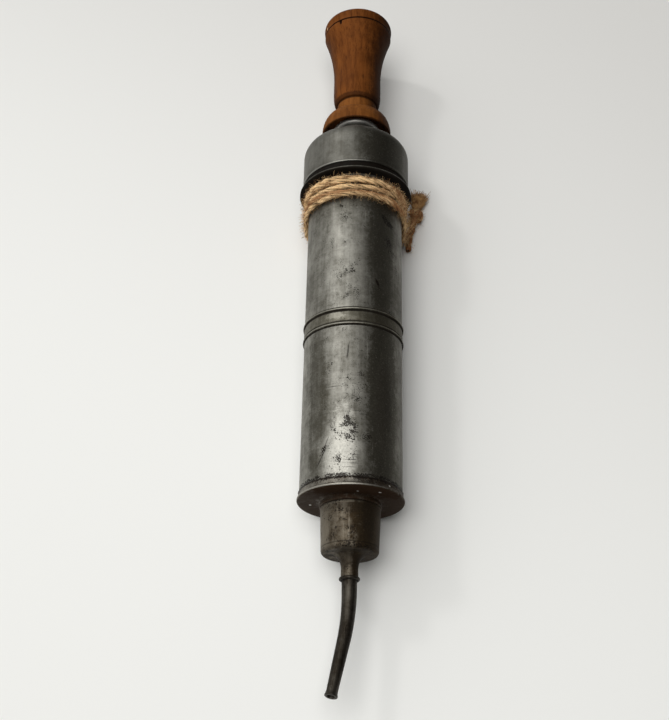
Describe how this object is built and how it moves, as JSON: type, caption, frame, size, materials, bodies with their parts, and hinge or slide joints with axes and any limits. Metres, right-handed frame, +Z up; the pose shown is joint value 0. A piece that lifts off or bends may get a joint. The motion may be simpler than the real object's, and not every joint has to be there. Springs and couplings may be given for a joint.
{
  "type": "enema syringe",
  "caption": "Old pewter clyster syringe with a bent nozzle, screw cap, wooden plunger handle and a twine binding round the barrel.",
  "frame": {"origin": "on the table under the middle of the syringe's length, as it lies on its two flanges", "axes": "+Y towards the handle, +Z up, +X to the right seen from the nozzle; the barrel's axis rises 1.37 degrees towards the handle"},
  "size_m": [0.0795, 0.4405, 0.0684],
  "materials": {
    "pewter": null,
    "dark_pewter": null,
    "piston_pewter": null,
    "grip_wood": "dark waxed reddish-brown turned wood",
    "base_wood": "waxed orange-brown turned wood",
    "rod_wood": "bare worn wood",
    "iron": "dark forged iron",
    "leather": "black oiled leather",
    "tow": "greased tow",
    "jute": "rough jute twine"
  },
  "bodies": {
    "barrel": {"lower_barrel": "pewter", "upper_barrel": "pewter", "middle_band": "pewter", "end_plate": "dark_pewter", "mouth_collar": "dark_pewter", "twine_winding": "jute", "twine_knot": "jute", "twine_upper_tail": "jute", "twine_lower_tail": "jute"},
    "cap_washer": {"cap_washer": "leather"},
    "cap": {"screw_cap": "pewter"},
    "packing": {"piston_packing": "tow"},
    "plunger": {"handle_grip": "grip_wood", "handle_base": "base_wood", "piston_rod": "rod_wood", "rod_stud": "iron", "piston_rear_disc": "piston_pewter", "piston_front_disc": "piston_pewter", "piston_nut": "iron"},
    "nozzle_washer": {"nozzle_washer": "leather"},
    "nozzle": {"nozzle_cup": "dark_pewter", "nozzle_bead": "dark_pewter", "nozzle_tube": "dark_pewter"}
  },
  "joints": [
    {"name": "cap_lift", "type": "slide", "parent": "barrel", "child": "cap_washer", "axis": [0, 0.9997, 0.0238], "range_m": [0, 0.009]},
    {"name": "cap_turn", "type": "hinge", "parent": "cap_washer", "child": "cap", "pos_m": [0, 0.08892, 0.03432], "axis": [0, 0.9997, 0.0238], "range_deg": [0, 1080]},
    {"name": "plunger_slide", "type": "slide", "parent": "cap_washer", "child": "packing", "axis": [0, 0.9997, 0.0238], "range_m": [0, 0.18]},
    {"name": "plunger_turn", "type": "hinge", "parent": "packing", "child": "plunger", "pos_m": [0, 0.1531, 0.03585], "axis": [0, 0.9997, 0.0238], "continuous": true},
    {"name": "nozzle_lift", "type": "slide", "parent": "barrel", "child": "nozzle_washer", "axis": [0, -0.9997, -0.0238], "range_m": [0, 0.0075]},
    {"name": "nozzle_turn", "type": "hinge", "parent": "nozzle_washer", "child": "nozzle", "pos_m": [0, -0.13502, 0.02899], "axis": [0, -0.9997, -0.0238], "range_deg": [0, 1080]}
  ],
  "couplings": [
    {"joint": "cap_lift", "follows": "cap_turn", "m_per_rad": 0.00047746},
    {"joint": "nozzle_lift", "follows": "nozzle_turn", "m_per_rad": 0.00039788}
  ]
}
